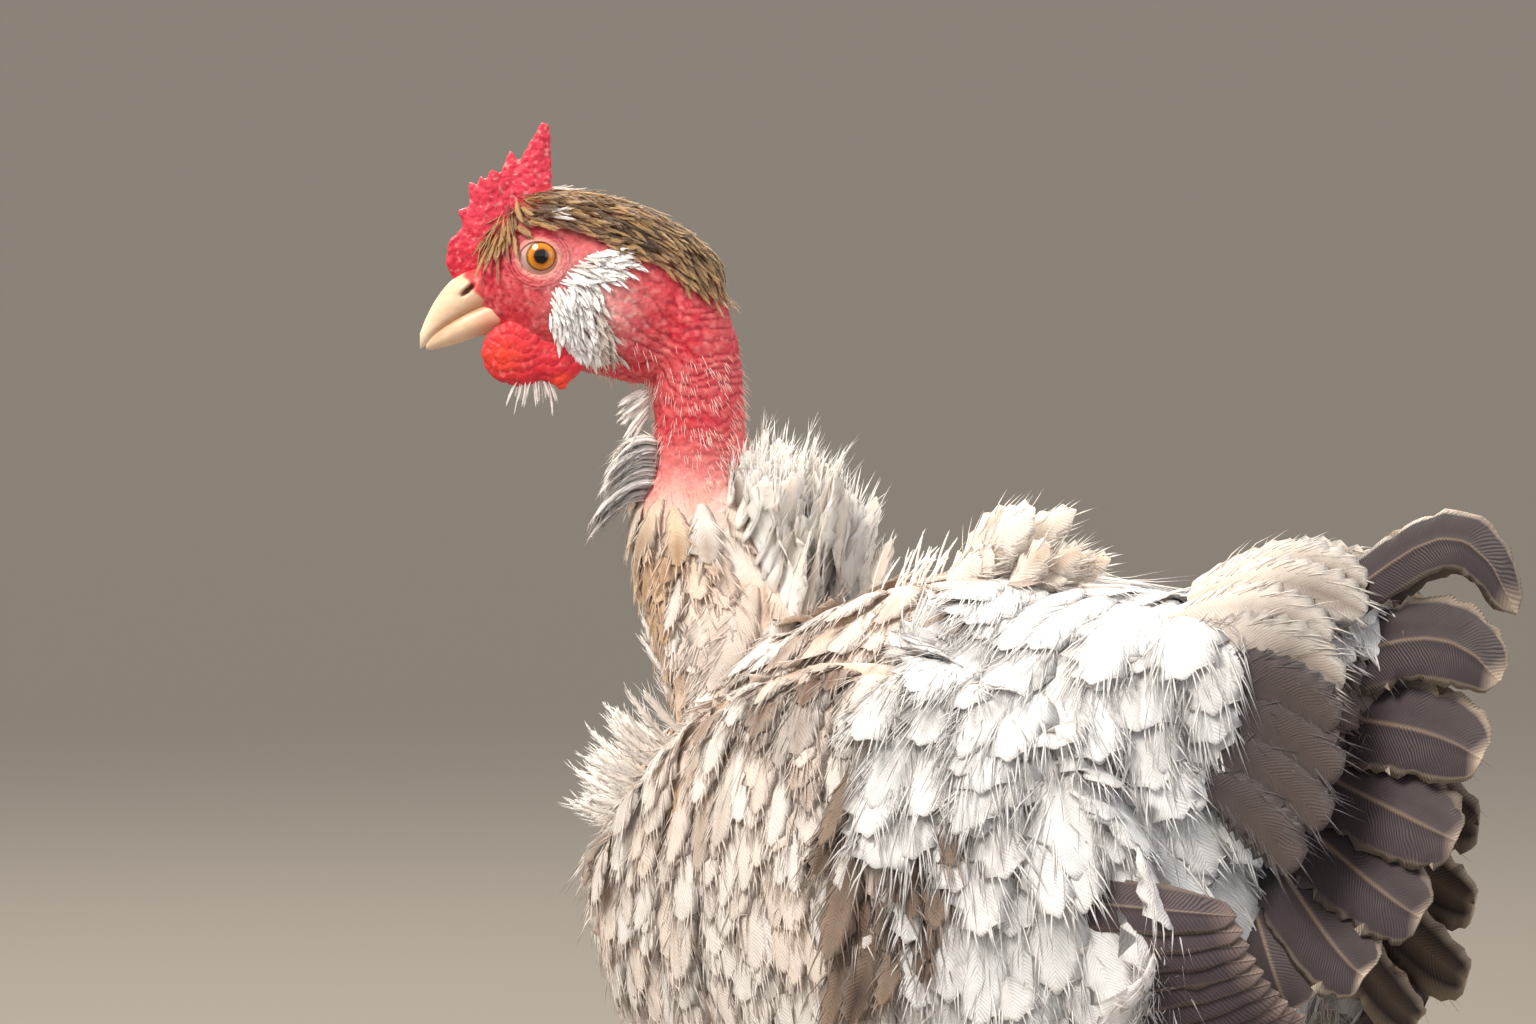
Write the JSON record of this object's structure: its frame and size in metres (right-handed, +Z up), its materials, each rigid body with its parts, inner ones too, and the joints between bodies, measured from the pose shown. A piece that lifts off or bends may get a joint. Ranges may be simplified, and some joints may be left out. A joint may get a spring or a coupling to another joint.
{
  "type": "naked neck chicken",
  "caption": "Standing hen of a bare-necked breed, head turned to its left, with a single comb, short wattles, a feathered cap, raised neck cape, folded wings and a fanned tail",
  "frame": {"origin": "the middle of the hen's box, on the floor it stands on", "axes": "+Z is up, -X is the way the body faces, -Y is the hen's left side, towards which its head is turned by 40 degrees"},
  "size_m": [0.3184, 0.1404, 0.3988],
  "materials": {
    "bare_skin": "red bare skin, finely wrinkled, satin",
    "comb_flesh": "bright red comb and wattle skin, granular, satin",
    "bill_horn": "pale cream horn, smooth",
    "eye": "orange iris with a black pupil, wet gloss",
    "cap_feather": "golden brown feathers with dark streaks",
    "pale_feather": "off-white and tan feathers",
    "crop_feather": "buff and white feathers",
    "white_feather": "cream white feathers with brown flecks",
    "tail_feather": "charcoal brown quill feathers with pale edges",
    "leg_scale": "pale horn-coloured scales, satin",
    "claw_horn": "horn, smooth"
  },
  "bodies": {
    "root": {"bill_lower": "bill_horn", "bill_upper": "bill_horn", "cape": "white_feather", "claw_left_1": "claw_horn", "claw_left_2": "claw_horn", "claw_left_3": "claw_horn", "claw_left_4": "claw_horn", "claw_right_1": "claw_horn", "claw_right_2": "claw_horn", "claw_right_3": "claw_horn", "claw_right_4": "claw_horn", "comb": "comb_flesh", "crop": "crop_feather", "crown_cap": "cap_feather", "ear_tuft_left": "pale_feather", "ear_tuft_right": "pale_feather", "eye_left": "eye", "eye_right": "eye", "foot_left": "leg_scale", "foot_right": "leg_scale", "head": "bare_skin", "neck": "bare_skin", "neck_tuft": "pale_feather", "shank_left": "leg_scale", "shank_right": "leg_scale", "tail_left": "tail_feather", "tail_right": "tail_feather", "thigh_left": "white_feather", "thigh_right": "white_feather", "torso": "white_feather", "wattle_left": "comb_flesh", "wattle_right": "comb_flesh", "wing_left": "white_feather", "wing_right": "white_feather"}
  },
  "joints": []
}
